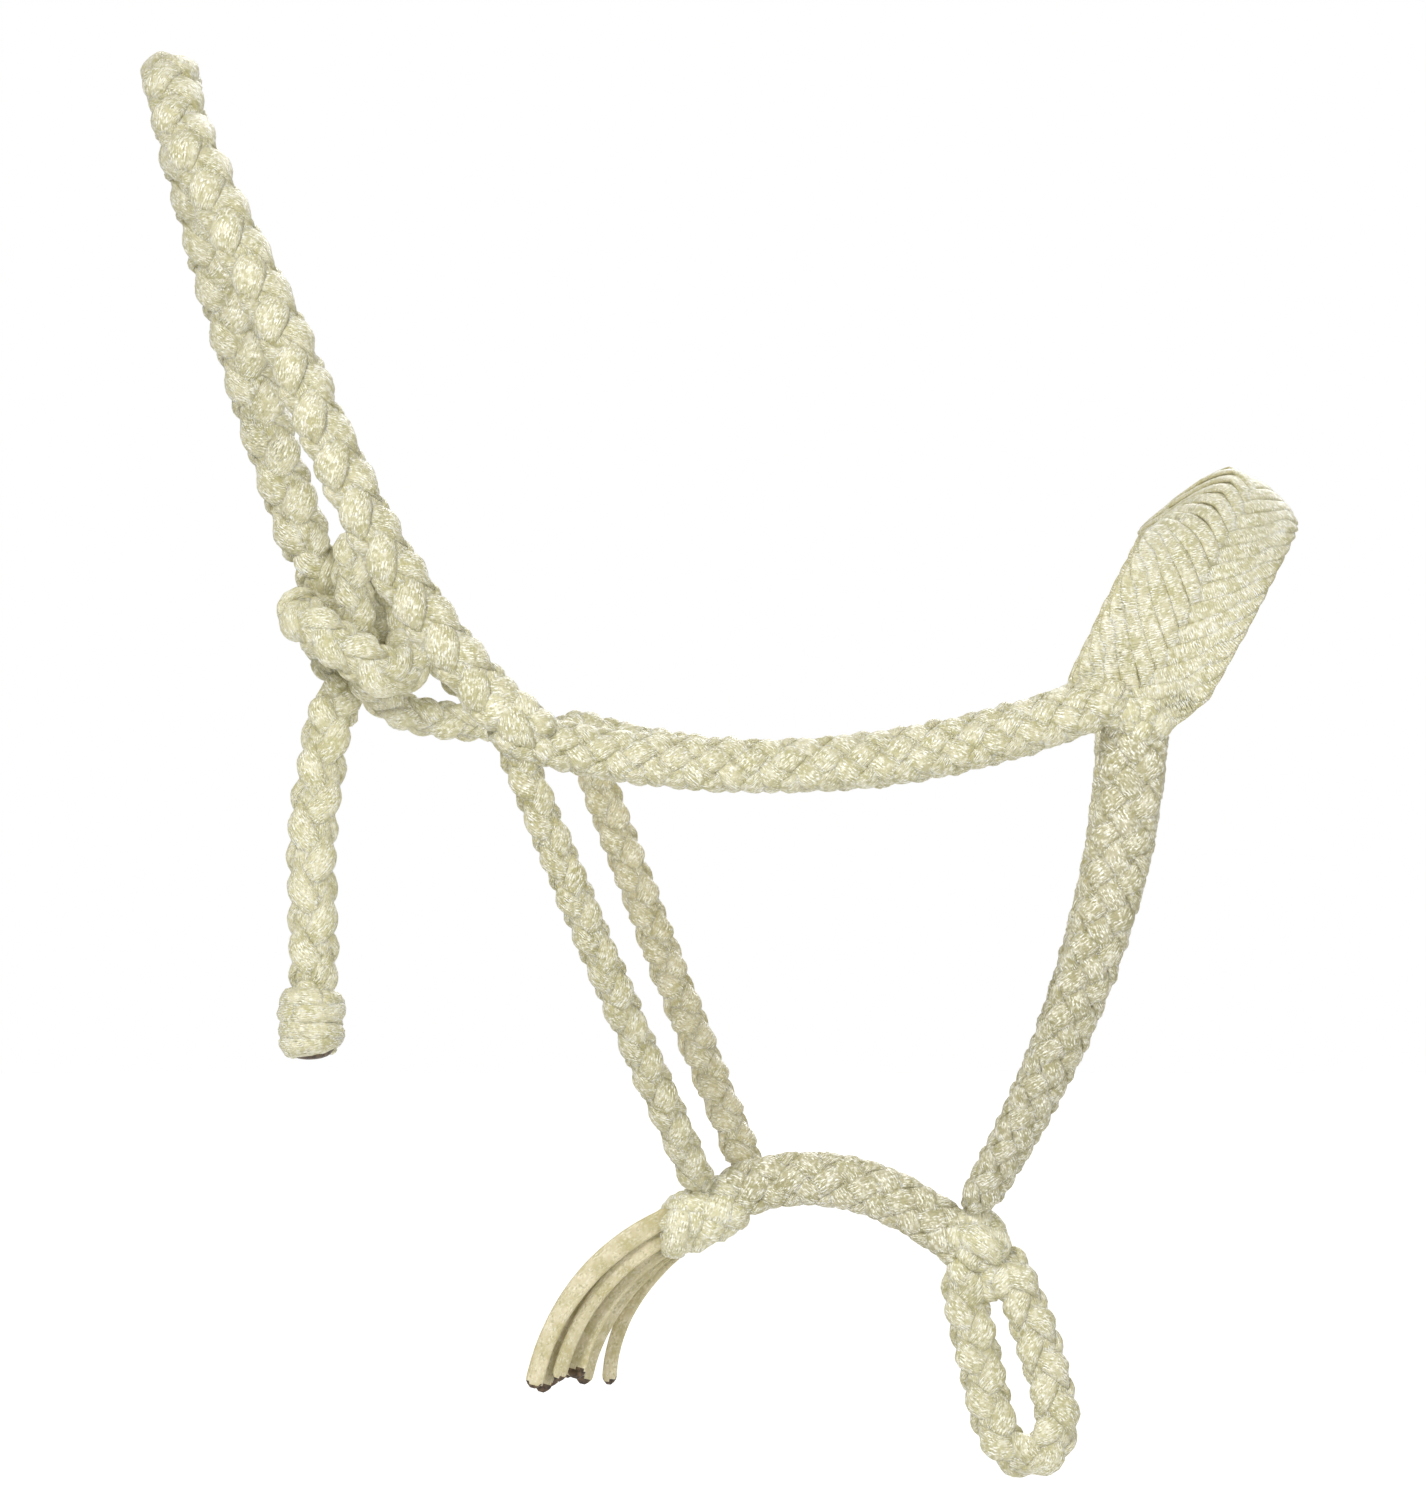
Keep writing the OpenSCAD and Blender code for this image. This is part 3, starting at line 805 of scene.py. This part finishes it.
def fringe_tape(i, low, y, spread):
    """One folded tape that bows out of the throat knot and down to its tip."""
    stray = math.sin(2.9 * i + 0.6)
    root = FRINGE + at(2 + 4 * spread, 0.4 * y, 3 - 10.5 * spread + 1.2 * stray)
    # Only the front tape hangs clear of the bundle.
    apart = 0.3 if spread > 0.95 else -6 * spread
    tip = at(low[0] + 3.0 + apart, y, low[2] - 0.4 + 1.9 * math.sin(2.4 * i))
    off = at(-7.2 + 2.0 * spread - 1.1 * stray, 0, 6.3 - 3.3 * spread - stray)
    line, s = smooth(bow(root, tip, off), 1.0)
    f = s / s[-1]
    side = np.cross(unit(tip - root), SIDEWAYS)
    turned = (0.5 * np.sin(2.6 * f + 1.9 * i) * f)[:, None]
    face = SIDEWAYS * np.cos(turned) + side * np.sin(turned)
    half_w = (3.1 + 0.4 * math.cos(2.3 * i)) * (1 + 0.08 * np.sin(5 * f + i))
    # Painted shade towards the root at the knot and along the tape's edges, and a small step darker from
    # one tape to the next.
    dull = np.clip(0.4 * (1 - f) ** 2 + 0.08 * (i % 3), 0, 1)
    name = f"fringe_tape_{i + 1}"
    piece = Piece(name + "_fold")
    piece.tape(line, face, half_w, 0.8, dull[:, None] + 0.45 * TO_EDGE[None, :] ** 6, power=0.65, seed=i)
    obj = finish_piece(piece, LOOSE, f"tape_{i + 1}", [name])
    obj.data.materials.append(MELT)
    scorch_tip(obj, len(line), i)


def scorch_tip(obj, rows, seed):
    """Gives the last few millimetres of a loose tape the melted finish, with a slanting edge."""
    for index, polygon in enumerate(obj.data.polygons):
        row, column = divmod(index, RING)
        slant = 1.2 * math.cos(2 * math.pi * column / RING + seed) + 2.0
        if row >= rows - 1:
            # The two end caps come last, a face of the root's and a face of the tip's by turns.
            polygon.material_index = index % 2
        elif row > rows - 2 - slant:
            polygon.material_index = 1


# ---- Studio ----

# Height of the floor and half its width, in metres.
FLOOR_HEIGHT = -0.16
FLOOR_REACH = 20

# Point that the lights are aimed at, and place of the camera, in metres.
MIDDLE = np.array([-0.11, 0, 0.22])
CAMERA = (-0.1087, -8.0, 0.2301)

# Focal length and width of the film, in millimetres.
LENS = 556
FILM = 36

def paint_floor():
    """Pale floor, bright to the camera but adding no light to the halter, and clear from below."""
    sh = Shader("pale_floor")
    sh.bsdf.inputs["Base Color"].default_value = (0.9, 0.9, 0.9, 1)
    sh.bsdf.inputs["Roughness"].default_value = 0.9
    sh.bsdf.inputs["Emission Color"].default_value = (1, 1, 1, 1)
    seen = sh.node("ShaderNodeLightPath").outputs["Is Camera Ray"]
    sh.links.new(sh.calc("MULTIPLY", seen, 0.8), sh.bsdf.inputs["Emission Strength"])
    below = sh.node("ShaderNodeNewGeometry").outputs["Backfacing"]
    sh.links.new(sh.calc("SUBTRACT", 1.0, below), sh.bsdf.inputs["Alpha"])
    return sh.material


def floor():
    """Wide level floor. Behind it the world's light is as pale as the floor."""
    mesh = bpy.data.meshes.new("floor")
    signs = ((-1, -1), (1, -1), (1, 1), (-1, 1))
    corners = [(x * FLOOR_REACH, y * FLOOR_REACH, FLOOR_HEIGHT) for x, y in signs]
    mesh.from_pydata(corners, [], [(0, 1, 2, 3)])
    mesh.materials.append(paint_floor())
    obj = bpy.data.objects.new("studio_floor", mesh)
    bpy.context.scene.collection.objects.link(obj)


def surroundings(strength, seen):
    """World that lights the halter evenly, and that the camera sees as a bright backdrop."""
    world = bpy.data.worlds.new("studio")
    bpy.context.scene.world = world
    world.use_nodes = True
    nodes = world.node_tree.nodes
    total = nodes.new("ShaderNodeMath")
    total.operation = "MULTIPLY_ADD"
    total.inputs[1].default_value = seen - strength
    total.inputs[2].default_value = strength
    world.node_tree.links.new(nodes.new("ShaderNodeLightPath").outputs["Is Camera Ray"], total.inputs[0])
    world.node_tree.links.new(total.outputs[0], nodes["Background"].inputs[1])
    nodes["Background"].inputs[0].default_value = (1, 1, 1, 1)


def lamp(name, place, size, power):
    """Square soft light of the given size, aimed at the middle of the halter."""
    light = bpy.data.lights.new(name, "AREA")
    light.size = size
    light.energy = power
    obj = bpy.data.objects.new(name, light)
    obj.location = place
    aim = MIDDLE - np.array(place)
    obj.rotation_euler = (math.atan2(math.hypot(aim[0], aim[1]), -aim[2]), 0,
                          math.atan2(aim[1], aim[0]) - math.pi / 2)
    bpy.context.scene.collection.objects.link(obj)


def studio():
    """Floor, soft lights, and a camera with a long lens that looks level at the halter's right side."""
    floor()
    surroundings(strength=0.44, seen=1.0)
    lamp("key", (-1.3, -2.2, 2.2), 1.1, 64)
    lamp("fill", (1.8, -2.4, 0.8), 1.6, 21)
    lamp("back", (0.5, 2.4, 1.7), 1.6, 46)

    camera = bpy.data.cameras.new("camera")
    camera.lens = LENS
    camera.sensor_width = FILM
    camera.clip_end = 50
    shot = bpy.data.objects.new("camera", camera)
    shot.location = CAMERA
    shot.rotation_euler = (math.pi / 2, 0, 0)
    bpy.context.scene.collection.objects.link(shot)
    bpy.context.scene.camera = shot
    bpy.context.scene.view_settings.view_transform = "Standard"


cheek(RIGHT, JOWL + at(-3, 0, -8), "right_side", "right_cheek")
cheek(LEFT, TIE + at(2, 0, 3), "left_side", "left_cheek")
chin_strap(RIGHT, "right_side", "right_chin_strap")
chin_strap(LEFT, "left_side", "left_chin_strap")
throat_strap(RIGHT, JOWL + at(3, 1, -8), THROAT + at(2.5, -5, 9), THROAT_TAPE, "right")
throat_strap(LEFT, TIE + at(13, -1, -4), THROAT + at(20, 5, 12), SHADED, "left")
jaw_strap()
crown()
tie_turn()
tie_loop()
tail()
tail_neck()
stopper_knot()
melted_tail_end()
noseband()
heel_knot()
throat_knot()
junctions()
lead_loop()
lead_loop_neck()
fringe()
studio()
